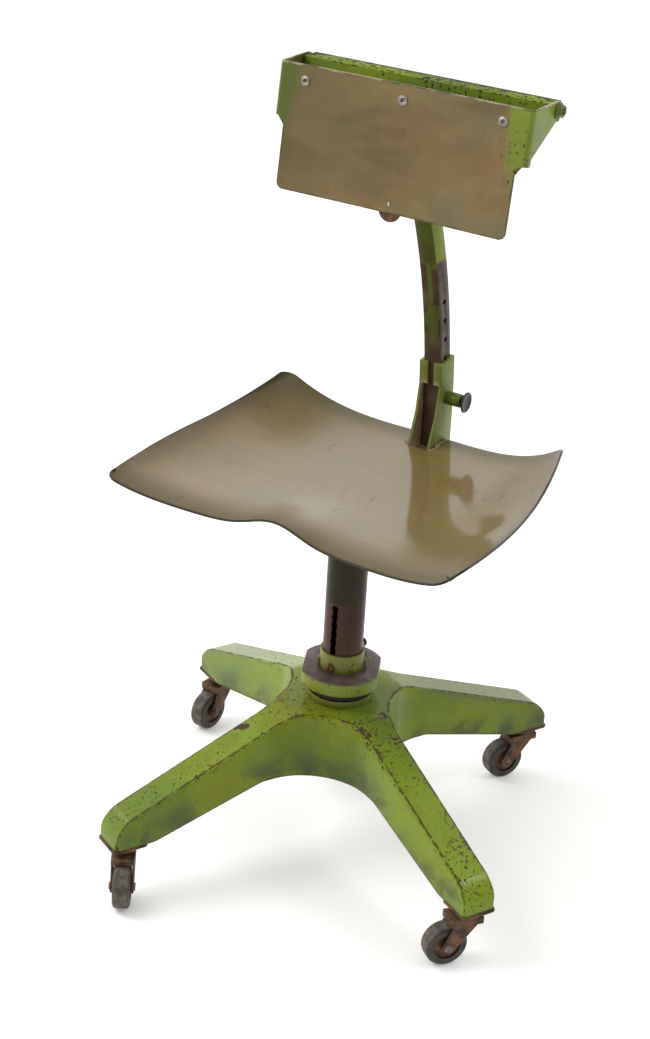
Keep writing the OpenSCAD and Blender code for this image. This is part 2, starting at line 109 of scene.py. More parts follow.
def add_world():
    """A pale studio, brighter behind the chair than in front of it."""
    world = bpy.data.worlds.new("studio")
    bpy.context.scene.world = world
    world.use_nodes = True
    tree = world.node_tree
    place = tree.nodes.new("ShaderNodeTexCoord").outputs["Generated"]
    along = tree.nodes.new("ShaderNodeVectorMath")
    along.operation = "DOT_PRODUCT"
    along.inputs[1].default_value = (-0.62, 0.62, 0.48)
    tree.links.new(place, along.inputs[0])
    ramp = tree.nodes.new("ShaderNodeMapRange")
    ramp.interpolation_type = "SMOOTHERSTEP"
    for name, value in (("From Min", -1.0), ("From Max", 0.8), ("To Min", 0.22), ("To Max", 1.25)):
        ramp.inputs[name].default_value = value
    tree.links.new(along.outputs["Value"], ramp.inputs["Value"])
    background = tree.nodes["Background"]
    background.inputs["Color"].default_value = (1, 0.995, 0.98, 1)
    tree.links.new(ramp.outputs["Result"], background.inputs["Strength"])


add_camera()
add_world()
add_light("key", (-1.7, -1.0, 2.3), (0, 0, 0.4), 1.4, 38)
add_light("left", (-2.4, -0.1, 1.3), (0, 0, 0.1), 0.7, 5)
add_light("right", (1.4, 0.6, 1.9), (0, 0, 0.15), 0.5, 7)
bpy.context.scene.view_settings.view_transform = "Standard"


# ---------- materials ----------

class Finish:
    """One procedural material, built up from masks and colours."""

    def __init__(self, name, metallic=0.0, specular=0.5, coat=0.0, coat_roughness=0.05):
        self.material = bpy.data.materials.new(name)
        self.material.use_nodes = True
        self.tree = self.material.node_tree
        self.shader = self.tree.nodes["Principled BSDF"]
        self.shader.inputs["Metallic"].default_value = metallic
        self.shader.inputs["Specular IOR Level"].default_value = specular
        self.shader.inputs["Coat Weight"].default_value = coat
        self.shader.inputs["Coat Roughness"].default_value = coat_roughness
        self.place = self.node("ShaderNodeTexCoord").outputs["Object"]
        self.axes = self.node("ShaderNodeSeparateXYZ")
        self.tree.links.new(self.place, self.axes.inputs[0])
        self.x, self.y, self.z = self.axes.outputs
        self.normal = None

    def node(self, kind, **settings):
        made = self.tree.nodes.new(kind)
        for name, value in settings.items():
            setattr(made, name, value)
        return made

    def feed(self, socket, value):
        if isinstance(value, bpy.types.NodeSocket):
            self.tree.links.new(value, socket)
        elif isinstance(value, tuple) and socket.type == "RGBA":
            socket.default_value = (*value, 1)
        else:
            socket.default_value = value

    def math(self, operation, a, b=0.0, c=0.0):
        made = self.node("ShaderNodeMath", operation=operation)
        for socket, value in zip(made.inputs, (a, b, c)):
            self.feed(socket, value)
        return made.outputs[0]

    def plus(self, a, b):
        return self.math("ADD", a, b)

    def minus(self, a, b):
        return self.math("SUBTRACT", a, b)

    def times(self, *values):
        result = values[0]
        for value in values[1:]:
            result = self.math("MULTIPLY", result, value)
        return result

    def either(self, *values):
        result = values[0]
        for value in values[1:]:
            result = self.math("MAXIMUM", result, value)
        return result

    def step(self, value, low, high):
        """0 below low and 1 above high, or the other way round where low is the larger."""
        made = self.node("ShaderNodeMapRange", interpolation_type="SMOOTHSTEP")
        self.feed(made.inputs["Value"], value)
        made.inputs["From Min"].default_value = low
        made.inputs["From Max"].default_value = high
        return made.outputs[0]

    def attribute(self, name):
        return self.node("ShaderNodeAttribute", attribute_name=name).outputs["Fac"]

    def stretched(self, stretch, turn=0.0):
        made = self.node("ShaderNodeMapping")
        made.inputs["Scale"].default_value = stretch
        made.inputs["Rotation"].default_value = (0, 0, turn)
        self.feed(made.inputs["Vector"], self.place)
        return made.outputs[0]

    def noise(self, scale, detail=2.0, seed=0.0, stretch=None, warp=0.0):
        made = self.node("ShaderNodeTexNoise", noise_dimensions="4D")
        self.feed(made.inputs["Vector"], self.stretched(stretch) if stretch else self.place)
        made.inputs["W"].default_value = seed
        made.inputs["Scale"].default_value = scale
        made.inputs["Detail"].default_value = detail
        made.inputs["Distortion"].default_value = warp
        return made.outputs[0]

    def scratches(self, scale, turn, seed):
        """Thin lines, a few of them, along one direction."""
        made = self.node("ShaderNodeTexNoise", noise_dimensions="4D")
        self.feed(made.inputs["Vector"], self.stretched((1, 0.11, 0.3), turn))
        made.inputs["W"].default_value = seed
        made.inputs["Scale"].default_value = scale
        made.inputs["Detail"].default_value = 1
        line = self.math("ABSOLUTE", self.minus(made.outputs[0], 0.5))
        return self.times(self.step(line, 0.009, 0), self.step(self.noise(19, 2, seed + 9), 0.57, 0.63))

    def waver(self, width, *noise):
        """Noise that wanders about 0, over the given width."""
        return self.times(self.minus(self.noise(*noise), 0.5), width)

    def uneven(self, low, rise, *noise):
        """The low value, raised by noise."""
        return self.plus(low, self.times(self.noise(*noise), rise))

    def mix(self, factor, a, b):
        made = self.node("ShaderNodeMix", data_type="RGBA")
        for socket, value in ((made.inputs[0], factor), (made.inputs[6], a), (made.inputs[7], b)):
            self.feed(socket, value)
        return made.outputs[2]

    def near(self, x, y, radius):
        """1 at a place in plan, fading to 0 at the radius."""
        across = self.minus(self.x, x)
        along = self.minus(self.y, y)
        far = self.plus(self.times(across, across), self.times(along, along))
        return self.step(self.math("SQRT", far), radius, radius * 0.35)

    def edges(self, radius):
        """1 on a sharp edge and 0 on a flat face."""
        round_normal = self.node("ShaderNodeBevel", samples=6)
        round_normal.inputs["Radius"].default_value = radius
        geometry = self.node("ShaderNodeNewGeometry")
        dot = self.node("ShaderNodeVectorMath", operation="DOT_PRODUCT")
        self.tree.links.new(round_normal.outputs[0], dot.inputs[0])
        self.tree.links.new(geometry.outputs["Normal"], dot.inputs[1])
        return self.step(dot.outputs["Value"], 0.99, 0.88)

    def facing_rear(self):
        """1 on faces that look towards +Y and -1 on those that look towards -Y."""
        axes = self.node("ShaderNodeSeparateXYZ")
        self.tree.links.new(self.node("ShaderNodeNewGeometry").outputs["Normal"], axes.inputs[0])
        return axes.outputs[1]

    def bump(self, height, distance):
        made = self.node("ShaderNodeBump")
        made.inputs["Distance"].default_value = distance
        self.feed(made.inputs["Height"], height)
        if self.normal is not None:
            self.tree.links.new(self.normal, made.inputs["Normal"])
        self.normal = made.outputs[0]

    def done(self, colour, roughness):
        self.feed(self.shader.inputs["Base Color"], colour)
        self.feed(self.shader.inputs["Roughness"], roughness)
        if self.normal is not None:
            self.tree.links.new(self.normal, self.shader.inputs["Normal"])
        return self.material


CHIP = (0.045, 0.026, 0.014)
WORN = (0.085, 0.05, 0.026)


def green_colour(f, lift=1.0):
    """Old yellow-green paint: three greens that drift into each other."""
    deep = (0.125 * lift, 0.19 * lift, 0.02 * lift)
    fresh = (0.19 * lift, 0.265 * lift, 0.02 * lift)
    olive = (0.2 * lift, 0.225 * lift, 0.012 * lift)
    colour = f.mix(f.step(f.noise(7, 3, 1.3), 0.36, 0.64), deep, fresh)
    colour = f.mix(f.times(f.step(f.noise(13, 3, 5.1), 0.48, 0.72), 0.7), colour, olive)
    fine = f.noise(420, 2, 2.2)
    return f.mix(f.times(f.step(fine, 0.3, 0.75), 0.22), colour, (0.07, 0.1, 0.02))


def specks(f, scale, amount, seed, density=9.0):
    """Small chips whose number changes from place to place."""
    fine = f.noise(scale, 2, seed, warp=0.6)
    crowd = f.waver(0.34, density, 2, seed + 4)
    return f.step(f.plus(fine, crowd), 1 - amount, 1.03 - amount)


def painted(name, edge_radius, wear=1.0, chips=0.28, lift=1.0, dirt=0.25, olive=0.0, seed=0.0):
    """Green paint with worn edges and chips, for pieces whose edges the shader finds."""
    f = Finish(name, specular=0.35)
    colour = f.mix(olive, green_colour(f, lift), (0.16, 0.148, 0.012))
    grime = f.times(f.step(f.noise(34, 4, seed + 3), 0.44, 0.72), dirt)
    colour = f.mix(grime, colour, (0.05, 0.055, 0.02))
    ragged = f.times(f.minus(f.noise(160, 3, seed), 0.55), 1.6)
    rough_edge = f.plus(f.edges(edge_radius), ragged)
    bare = f.times(f.step(rough_edge, 0.45, 0.75), wear)
    spots = specks(f, 240, chips, seed + 7)
    colour = f.mix(bare, colour, WORN)
    colour = f.mix(spots, colour, CHIP)
    lost = f.either(bare, spots)
    f.bump(f.minus(f.times(f.noise(260, 3, seed + 1), 0.25), lost), 0.00025)
    rough = f.plus(f.times(lost, 0.25), f.times(f.noise(60, 2, seed + 2), 0.3))
    return f.done(colour, f.plus(rough, 0.14))


def base_paint():
    """The base's paint: worn top edges and crease lines, chips on top, smudges low on the sides."""
    f = Finish("base_paint", specular=0.16)
    colour = green_colour(f, 1.08)
    edge = f.attribute("edge")
    rim = f.attribute("rim")
    crease = f.attribute("crease")
    top = f.attribute("top")
    blotch = f.noise(26, 4, 8.2, warp=0.4)
    low_side = f.times(f.step(rim, 0.05, 0.004), f.minus(1.0, top))
    smudge = f.times(low_side, f.step(blotch, 0.4, 0.66), 0.7)
    colour = f.mix(smudge, colour, (0.036, 0.05, 0.034))
    mud = f.times(f.step(f.noise(19, 4, 3.4), 0.5, 0.7), 0.35)
    colour = f.mix(mud, colour, (0.14, 0.125, 0.02))
    ragged = f.times(f.minus(f.noise(120, 4, 6.6), 0.47), 0.0075)
    worn_edge = f.step(f.plus(edge, ragged), 0.0017, 0.0009)
    worn_edge = f.times(worn_edge, f.step(f.noise(14, 2, 9.9), 0.24, 0.4))
    line = f.waver(0.012, 60, 3, 4.4)
    crease_line = f.times(f.step(f.plus(crease, line), 0.0026, 0.0008),
                          f.step(f.noise(38, 2, 7.7), 0.36, 0.52))
    spots = f.times(specks(f, 300, 0.368, 12.3), f.either(top, 0.25))
    large = f.times(specks(f, 110, 0.285, 15.1, 7.0), top)
    across = f.plus(f.x, 0.067)
    along = f.plus(f.y, 0.107)
    long = f.plus(f.times(across, 86.0), f.times(along, 50.0))
    short = f.plus(f.times(across, -80.0), f.times(along, 138.0))
    far = f.math("SQRT", f.plus(f.times(long, long), f.times(short, short)))
    patch = f.plus(far, f.waver(2.2, 150, 3, 2.8))
    patch = f.times(f.step(patch, 0.85, 0.7), top)
    crowd = f.either(f.near(0.071, -0.017, 0.016), f.near(0.1, -0.034, 0.016), f.near(0.066, -0.062, 0.03),
                     f.times(f.near(0.236, -0.103, 0.034), 0.8), f.times(f.near(0.205, -0.078, 0.026), 0.7))
    dense = f.times(crowd, f.step(f.noise(170, 4, 21.0, warp=0.5), 0.54, 0.58), top)
    # Greyer tone on the rear legs' tops: a painted sheen, standing for the grazing reflection of the bright
    # studio behind the chair.
    dust_and_sheen = f.times(f.step(f.y, 0.03, 0.15), top, 0.42)
    colour = f.mix(dust_and_sheen, colour, (0.12, 0.11, 0.07))
    colour = f.mix(f.times(worn_edge, 0.85), colour, (0.055, 0.036, 0.016))
    colour = f.mix(f.times(crease_line, 0.75), colour, (0.13, 0.055, 0.025))
    colour = f.mix(f.either(large, patch, dense), colour, (0.075, 0.034, 0.018))
    colour = f.mix(spots, colour, CHIP)
    low_edge = f.times(f.step(f.plus(rim, ragged), 0.0032, 0.0012), f.minus(1.0, top), 0.7)
    colour = f.mix(low_edge, colour, (0.085, 0.06, 0.025))
    lost = f.either(worn_edge, spots, large, patch, dense)
    f.bump(f.minus(f.times(f.noise(200, 3, 1.1), 0.2), lost), 0.0003)
    rough = f.plus(f.times(lost, 0.3), f.times(f.noise(40, 3, 2.2), 0.2))
    return f.done(colour, f.plus(rough, f.plus(0.1, f.times(smudge, 0.3))))


def seat_lacquer():
    """Clear lacquer over bare steel, greenish at the rear edge, with small scratches and stains."""
    f = Finish("seat_lacquer", specular=0.1, coat=1.0, coat_roughness=0.07)
    f.shader.inputs["Coat IOR"].default_value = 1.6
    warm = f.step(f.noise(5.5, 3, 4.2), 0.38, 0.62)
    colour = f.mix(warm, (0.148, 0.102, 0.031), (0.175, 0.11, 0.032))
    brushed = f.noise(90, 3, 1.7, stretch=(0.12, 1, 1))
    colour = f.mix(f.times(f.step(brushed, 0.35, 0.7), 0.25), colour, (0.105, 0.072, 0.022))
    blotch = f.times(f.step(f.noise(12, 5, 6.1), 0.5, 0.75), 0.4)
    colour = f.mix(blotch, colour, (0.105, 0.088, 0.036))
    rear = f.attribute("rear")
    tint = f.times(f.step(f.plus(rear, f.times(f.noise(20, 3, 3.3), 0.05)), 0.058, 0.022), 0.62)
    colour = f.mix(tint, colour, (0.078, 0.092, 0.032))
    front = f.attribute("front")
    olive = f.times(f.step(f.plus(front, f.times(f.noise(14, 3, 7.3), 0.06)), 0.085, 0.03), 0.5)
    colour = f.mix(olive, colour, (0.082, 0.072, 0.024))
    lines = f.either(f.scratches(64, 0.5, 2.0), f.scratches(70, 1.9, 5.0), f.scratches(58, -0.9, 8.0))
    dots = f.step(f.noise(230, 1, 9.4), 0.74, 0.77)
    marks = f.either(f.times(lines, 0.55), f.times(dots, 0.75))
    colour = f.mix(marks, colour, (0.03, 0.02, 0.01))
    edge = f.attribute("rim")
    drift = f.waver(0.03, 11, 3, 5.5)
    fade = f.either(f.times(f.step(f.plus(edge, drift), 0.05, 0), 0.55), f.step(front, 0.075, 0))
    rear_left = f.times(f.step(f.x, -0.09, -0.15), f.step(f.y, 0.02, 0.1))
    fade = f.either(fade, f.times(rear_left, 0.9), f.times(f.step(f.x, 0.105, 0.15), 0.55))
    # Darker brown towards the front edge and near every rim: painted shade.
    colour = f.mix(f.times(f.either(f.step(front, 0.075, 0), f.step(edge, 0.03, 0)), 0.55), colour,
                   (0.07, 0.046, 0.014))
    colour = f.mix(f.times(f.step(edge, 0.0022, 0.0008), 0.9), colour, (0.03, 0.028, 0.018))
    f.feed(f.shader.inputs["Coat Weight"], f.minus(1.0, f.times(fade, 0.8)))
    dull = f.either(f.step(front, 0.13, 0.03), rear_left)
    f.feed(f.shader.inputs["Coat Roughness"], f.plus(0.08, f.times(dull, 0.3)))
    f.bump(f.minus(f.times(f.noise(9, 2, 2.5), 0.5), f.times(marks, 0.1)), 0.0005)
    return f.done(colour, f.uneven(0.38, 0.2, 70, 2, 1.9))


def back_lacquer():
    """The backrest: brushed bare steel in the middle, green at both sides and on the flaps."""
    f = Finish("back_lacquer", specular=0.2, coat=0.3, coat_roughness=0.2)
    swirl = f.noise(7, 6, 2.4, warp=0.9)
    colour = f.mix(f.step(swirl, 0.3, 0.68), (0.085, 0.06, 0.021), (0.19, 0.12, 0.042))
    brushed = f.noise(26, 5, 5.2, stretch=(0.3, 1, 1), warp=0.6)
    colour = f.mix(f.times(f.step(brushed, 0.42, 0.62), 0.5), colour, (0.215, 0.155, 0.062))
    orange = f.times(f.step(f.noise(12, 5, 8.8, warp=0.8), 0.5, 0.74), 0.4)
    colour = f.mix(orange, colour, (0.17, 0.085, 0.022))
    olive = f.times(f.step(f.noise(9, 5, 13.7, warp=0.6), 0.48, 0.7), 0.5)
    colour = f.mix(olive, colour, (0.098, 0.088, 0.024))
    side = f.math("ABSOLUTE", f.x)
    low_right = f.times(f.step(f.x, 0.03, 0.09), f.step(f.z, 0.84, 0.795))
    grey = f.times(f.step(f.plus(f.times(low_right, 0.4), f.noise(17, 5, 1.2)), 0.6, 0.95), 0.6)
    colour = f.mix(grey, colour, (0.1, 0.115, 0.062))
    blue = f.step(f.noise(15, 5, 11.6), 0.54, 0.76)
    colour = f.mix(f.times(blue, 0.35), colour, (0.085, 0.082, 0.045))
    ragged = f.waver(0.016, 32, 4, 3.8)
    left = f.plus(f.minus(-0.008, f.x), f.times(f.minus(f.z, 0.85), 0.12))
    right = f.plus(f.x, f.times(f.minus(f.z, 0.85), 0.07))
    right = f.minus(right, f.times(f.step(f.z, 0.868, 0.84), 0.011))
    strip = f.step(f.plus(f.either(left, right), ragged), 0.122, 0.138)
    paint = green_colour(f, 0.85)
    paint = f.mix(f.times(f.step(f.x, 0, -0.1), 0.8), paint, (0.06, 0.075, 0.01))
    colour = f.mix(f.times(f.step(f.x, 0.0, -0.12), 0.35), colour, (0.075, 0.062, 0.018))
    colour = f.mix(f.either(strip, f.attribute("behind")), colour, paint)
    chips = f.times(specks(f, 200, 0.3, 4.9), f.either(f.step(side, 0.1, 0.14), 0.3))
    colour = f.mix(chips, colour, CHIP)
    lines = f.either(f.scratches(52, 1.2, 3.0), f.scratches(64, -1.0, 6.0))
    colour = f.mix(f.times(lines, 0.2), colour, (0.26, 0.21, 0.14))
    uneven = f.waver(0.006, 90, 3, 5.9)
    rim = f.step(f.plus(f.attribute("rim"), uneven), 0.0018, 0.0006)
    high = f.step(f.z, 0.913, 0.9155)
    colour = f.mix(f.times(rim, 0.75), colour, (0.05, 0.035, 0.018))
    # A pale line along the pan's top edge: partly worn paint, partly a painted highlight.
    colour = f.mix(f.times(rim, high, f.step(f.noise(45, 3, 2.2), 0.4, 0.55)), colour, (0.3, 0.25, 0.15))
    f.bump(f.minus(f.times(f.noise(40, 3, 2.9), 0.5), chips), 0.00035)
    return f.done(colour, f.uneven(0.26, 0.22, 50, 3, 7.1))


def column_finish():
    """Dark olive paint above, bare red-brown steel below where the socket has rubbed it."""
    f = Finish("column_finish", specular=0.14)
    edge = f.plus(f.z, f.waver(0.004, 60, 3, 1.0))
    bare = f.step(edge, 0.3245, 0.3225)
    olive = f.mix(f.step(f.noise(18, 3, 2.0), 0.35, 0.65), (0.017, 0.013, 0.005), (0.03, 0.022, 0.009))
    drift = f.step(f.noise(15, 4, 3.0, stretch=(1, 1, 0.4)), 0.35, 0.65)
    brown = f.mix(drift, (0.04, 0.017, 0.009), (0.07, 0.034, 0.019))
    colour = f.mix(bare, olive, brown)
    rubs = f.step(f.noise(160, 2, 4.0, stretch=(1, 1, 0.1)), 0.66, 0.74)
    colour = f.mix(f.times(rubs, 0.2), colour, (0.14, 0.09, 0.06))
    f.bump(f.noise(120, 3, 5.0), 0.0002)
    return f.done(colour, f.uneven(0.2, 0.25, 50, 2, 6.0))


def post_finish():
    """The post: green at the top, worn to brown along its lower front, grey-brown on its sides."""
    f = Finish("post_finish", specular=0.12)
    ragged = f.waver(0.022, 55, 4, 1.0)
    height = f.plus(f.z, ragged)
    paint = green_colour(f, 0.85)
    front = f.step(f.facing_rear(), -0.3, -0.6)
    brown = f.mix(f.step(f.noise(30, 4, 2.0), 0.36, 0.64), (0.055, 0.037, 0.02), (0.11, 0.07, 0.042))
    side_brown = f.mix(f.step(f.noise(40, 3, 3.0), 0.36, 0.64), (0.04, 0.028, 0.018), (0.075, 0.054, 0.036))
    worn = f.mix(front, side_brown, brown)
    stripe = f.times(f.step(f.math("ABSOLUTE", f.plus(f.x, f.times(ragged, 0.12))), 0.0034, 0.0024),
                     f.step(height, 0.585, 0.6), front)
    patches = f.times(f.step(f.noise(48, 3, 6.3, stretch=(1, 1, 0.5)), 0.56, 0.6), front,
                      f.step(height, 0.57, 0.6))
    high = f.step(height, 0.694, 0.7)
    colour = f.mix(f.either(high, f.times(stripe, 0.5), f.times(patches, 0.4)), worn, paint)
    colour = f.mix(f.times(high, front, 0.75), colour, (0.062, 0.068, 0.012))
    upper_wear = f.times(high, front, f.step(f.noise(36, 3, 8.0), 0.42, 0.6), 0.75)
    colour = f.mix(upper_wear, colour, (0.06, 0.048, 0.02))
    spots = specks(f, 260, 0.33, 9.0)
    colour = f.mix(spots, colour, CHIP)
    rubbed = f.times(f.edges(0.0012), f.step(f.noise(120, 3, 4.2), 0.42, 0.6), 0.6)
    colour = f.mix(rubbed, colour, (0.12, 0.08, 0.045))
    f.bump(f.minus(f.times(f.noise(180, 3, 5.0), 0.4), spots), 0.0003)
    return f.done(colour, f.uneven(0.2, 0.3, 60, 3, 6.0))


def ring_finish():
    """The swivel ring: paint worn off its top face, whole on its side."""
    f = Finish("ring_finish", specular=0.28)
    paint = green_colour(f, 1.0)
    stain = f.step(f.noise(26, 4, 5.2), 0.42, 0.64)
    paint = f.mix(f.times(stain, 0.7), paint, (0.17, 0.155, 0.012))
    upward = f.step(f.z, 0.2315, 0.2335)
    brown = f.mix(f.step(f.noise(40, 3, 2.0), 0.35, 0.65), (0.07, 0.043, 0.037), (0.12, 0.08, 0.072))
    flecks = f.step(f.noise(46, 4, 7.0), 0.33, 0.4)
    worn = f.times(upward, flecks)
    colour = f.mix(worn, paint, brown)
    # Paler edges on the ring: partly worn paint, partly a painted highlight.
    rim = f.times(f.edges(0.0022), f.step(f.noise(60, 3, 8.1), 0.35, 0.5), 0.55)
    colour = f.mix(rim, colour, (0.2, 0.17, 0.09))
    spots = specks(f, 190, 0.34, 3.0)
    colour = f.mix(spots, colour, CHIP)
    f.bump(f.minus(f.times(f.noise(150, 3, 5.0), 0.3), f.either(spots, worn)), 0.0003)
    return f.done(colour, f.uneven(0.16, 0.3, 60, 3, 6.0))


def bracket_finish():
    """The bracket: light green outside, brown inside and on the lips' edges."""
    f = Finish("bracket_finish", specular=0.12)
    paint = f.mix(f.step(f.noise(22, 3, 1.4), 0.36, 0.64), (0.14, 0.18, 0.034), (0.195, 0.228, 0.06))
    # Tan brown inside the channel: the steel's own colour, lightened as painted light against the shade
    # inside the channel.
    inside = f.times(f.step(f.math("ABSOLUTE", f.x), 0.0122, 0.0117), f.step(f.z, 0.545, 0.535),
                     f.step(f.facing_rear(), 0.4, 0.2))
    brown = f.mix(f.step(f.noise(34, 4, 2.0), 0.36, 0.64), (0.28, 0.195, 0.115), (0.42, 0.31, 0.2))
    colour = f.mix(inside, paint, brown)
    ragged = f.plus(f.edges(0.0016), f.times(f.minus(f.noise(150, 3, 3.0), 0.55), 1.5))
    bare = f.step(ragged, 0.35, 0.65)
    colour = f.mix(f.times(bare, 0.85), colour, (0.13, 0.095, 0.055))
    foot = f.times(f.step(f.z, 0.468, 0.452), f.step(f.noise(60, 3, 9.0), 0.4, 0.55), 0.7)
    colour = f.mix(foot, colour, (0.14, 0.075, 0.03))
    spots = specks(f, 260, 0.3, 5.0)
    colour = f.mix(spots, colour, CHIP)
    f.bump(f.minus(f.times(f.noise(180, 3, 5.0), 0.3), f.either(bare, spots)), 0.0003)
    return f.done(colour, f.uneven(0.2, 0.3, 60, 3, 6.0))


def metal(name, dark, light, rough=(0.35, 0.25), metallic=0.7, grain=60, edge=None, depth=0.0002):
    """Bare steel in two tones, with brighter edges where edge is a colour."""
    f = Finish(name, metallic=metallic, specular=0.5)
    colour = f.mix(f.step(f.noise(grain, 4, 1.0), 0.34, 0.66), dark, light)
    fine = f.noise(grain * 6, 3, 2.0)
    colour = f.mix(f.times(f.step(fine, 0.4, 0.75), 0.35), colour, tuple(v * 0.55 for v in dark))
    if edge:
        colour = f.mix(f.times(f.edges(0.0008), 0.55), colour, edge)
    f.bump(fine, depth)
    return f.done(colour, f.plus(rough[0], f.times(f.noise(grain, 2, 3.0), rough[1])))


def tread_rubber():
    """Hard old rubber, dark on the sides and dusty on the tread."""
    f = Finish("tread_rubber", specular=0.4)
    tread = f.attribute("tread")
    side = f.mix(f.step(f.noise(90, 3, 1.0), 0.36, 0.64), (0.022, 0.018, 0.014), (0.05, 0.038, 0.028))
    dust_and_sheen = f.mix(f.step(f.noise(120, 4, 2.0), 0.34, 0.66), (0.06, 0.05, 0.038), (0.13, 0.112, 0.09))
    ragged = f.waver(0.9, 160, 3, 3.0)
    colour = f.mix(f.step(f.plus(tread, ragged), 0.35, 0.65), side, dust_and_sheen)
    pits = f.step(f.noise(420, 2, 4.0), 0.66, 0.72)
    colour = f.mix(f.times(pits, 0.6), colour, (0.014, 0.01, 0.008))
    f.bump(f.minus(f.noise(260, 3, 5.0), pits), 0.0004)
    return f.done(colour, f.plus(0.4, f.times(tread, 0.3)))


def bar_finish():
    """The yoke bar: green in front, its top chipped and rusted almost black."""
    f = Finish("bar_paint", specular=0.08)
    colour = green_colour(f, 1.0)
    fine = specks(f, 210, 0.38, 3.3)
    colour = f.mix(fine, colour, (0.03, 0.035, 0.012))
    top = f.step(f.z, 0.9135, 0.9145)
    rear = f.plus(f.y, f.waver(0.03, 60, 4, 2.7))
    crowd = f.step(f.noise(230, 4, 6.6, warp=0.4), 0.54, 0.58)
    lost = f.times(top, f.either(f.step(rear, 0.114, 0.119), crowd))
    black = f.mix(f.step(f.noise(110, 3, 6.6), 0.4, 0.62), (0.018, 0.016, 0.01), (0.05, 0.045, 0.02))
    colour = f.mix(lost, colour, black)
    rust = f.times(top, f.step(f.noise(20, 3, 9.1), 0.6, 0.66))
    colour = f.mix(rust, colour, (0.09, 0.035, 0.02))
    f.bump(f.minus(f.times(f.noise(180, 3, 5.0), 0.4), f.either(fine, lost)), 0.0004)
    return f.done(colour, f.uneven(0.5, 0.3, 60, 3, 6.0))


GREEN = painted("green_paint", 0.0016, wear=0.8, chips=0.31)
COLLAR = painted("collar_paint", 0.0012, wear=0.8, chips=0.3, lift=0.95, dirt=0.4, olive=0.6, seed=21.0)
BAR = bar_finish()
PLUNGER = painted("plunger_paint", 0.001, wear=0.7, chips=0.3, lift=0.62, dirt=0.5, seed=41.0)
BASE = base_paint()
# The lower race is painted too, so that less dark metal shows under the ring.
HUB = painted("hub_paint", 0.0008, wear=0.3, chips=0.3, lift=0.95, dirt=0.5, olive=0.3, seed=51.0)
SEAT = seat_lacquer()
BACK = back_lacquer()
COLUMN = column_finish()
POST = post_finish()
RING = ring_finish()
BRACKET = bracket_finish()
RUSTY = metal("rusty_steel", (0.035, 0.015, 0.006), (0.17, 0.073, 0.022), (0.5, 0.3), 0.1, 75,
              (0.2, 0.1, 0.045), 0.0004)
DARK = metal("dark_steel", (0.022, 0.018, 0.014), (0.06, 0.045, 0.034), (0.35, 0.3), 0.6, 60,
             (0.16, 0.12, 0.09))
# Races and balls: dark steel, made near-black as painted shade for the gap under the swivel ring.
RACE_SHADE = metal("race_steel_shade", (0.012, 0.009, 0.007), (0.035, 0.026, 0.018), (0.5, 0.3), 0.2, 90)
KNOB = metal("knob_steel", (0.014, 0.017, 0.009), (0.034, 0.038, 0.02), (0.25, 0.25), 0.4, 110,
             (0.2, 0.2, 0.14))
AXLE = metal("axle_steel", (0.05, 0.038, 0.03), (0.2, 0.16, 0.13), (0.35, 0.25), 0.5, 140)
ZINC = metal("zinc_steel", (0.2, 0.175, 0.15), (0.38, 0.34, 0.3), (0.25, 0.25), 0.85, 140, (0.6, 0.57, 0.52))
BRIGHT = metal("bright_steel", (0.4, 0.38, 0.35), (0.6, 0.58, 0.54), (0.12, 0.15), 1.0, 90)
WELD = metal("weld_bead", (0.1, 0.07, 0.035), (0.3, 0.24, 0.14), (0.3, 0.3), 0.5, 120,
             (0.45, 0.38, 0.26), 0.0003)
TREAD = tread_rubber()


# ---------- mesh helpers ----------

def paint(piece, material):
    """Gives every slot of a piece one material."""
    if not piece.material_slots:
        piece.data.materials.append(material)
    for place in piece.material_slots:
        place.material = material


def new_piece(name, points, faces, material, body, values=None):
    """A smooth mesh piece that rides on a body; values holds its point attributes by name."""
    data = bpy.data.meshes.new(name)
    data.from_pydata([tuple(p) for p in points], [], faces)
    for key, numbers in (values or {}).items():
        layer = data.attributes.new(key, "FLOAT", "POINT")
        layer.data.foreach_set("value", numbers)
    data.validate()
    piece = added(name, data)
    tidy(data, 0.00002)
    smooth(data)
    paint(piece, material)
    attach(piece, body)
    return piece


def tidy(data, distance):
    """Joins points that lie together and turns every face outwards."""
    mesh = bmesh.new()
    mesh.from_mesh(data)
    bmesh.ops.remove_doubles(mesh, verts=mesh.verts, dist=distance)
    bmesh.ops.recalc_face_normals(mesh, faces=mesh.faces)
    mesh.to_mesh(data)
    mesh.free()


def smooth(data, angle=38):
    data.polygons.foreach_set("use_smooth", [True] * len(data.polygons))
    data.set_sharp_from_angle(angle=math.radians(angle))


def apply_modifiers(piece):
    """Writes the piece's modifiers into its mesh."""
    bpy.context.view_layer.update()
    graph = bpy.context.evaluated_depsgraph_get()
    data = bpy.data.meshes.new_from_object(piece.evaluated_get(graph))
    piece.modifiers.clear()
    piece.data = data


def bevelled(piece, width, segments=2, angle=40):
    """Rounds the piece's sharp edges."""
    rounding = piece.modifiers.new("rounding", "BEVEL")
    rounding.width = width
    rounding.segments = segments
    rounding.limit_method = "ANGLE"
    rounding.angle_limit = math.radians(angle)
    rounding.use_clamp_overlap = True
    apply_modifiers(piece)
    smooth(piece.data)
    return piece


def sheet_piece(name, points, faces, thickness, material, body, values=None, rounding=0.0006):
    """A sheet of steel: the given surface, thickened against its normals, with rounded edges."""
    piece = new_piece(name, points, faces, material, body, values)
    shell = piece.modifiers.new("thickness", "SOLIDIFY")
    shell.thickness = thickness
    shell.offset = -1
    shell.use_even_offset = True
    apply_modifiers(piece)
    return bevelled(piece, rounding, 2, 50)


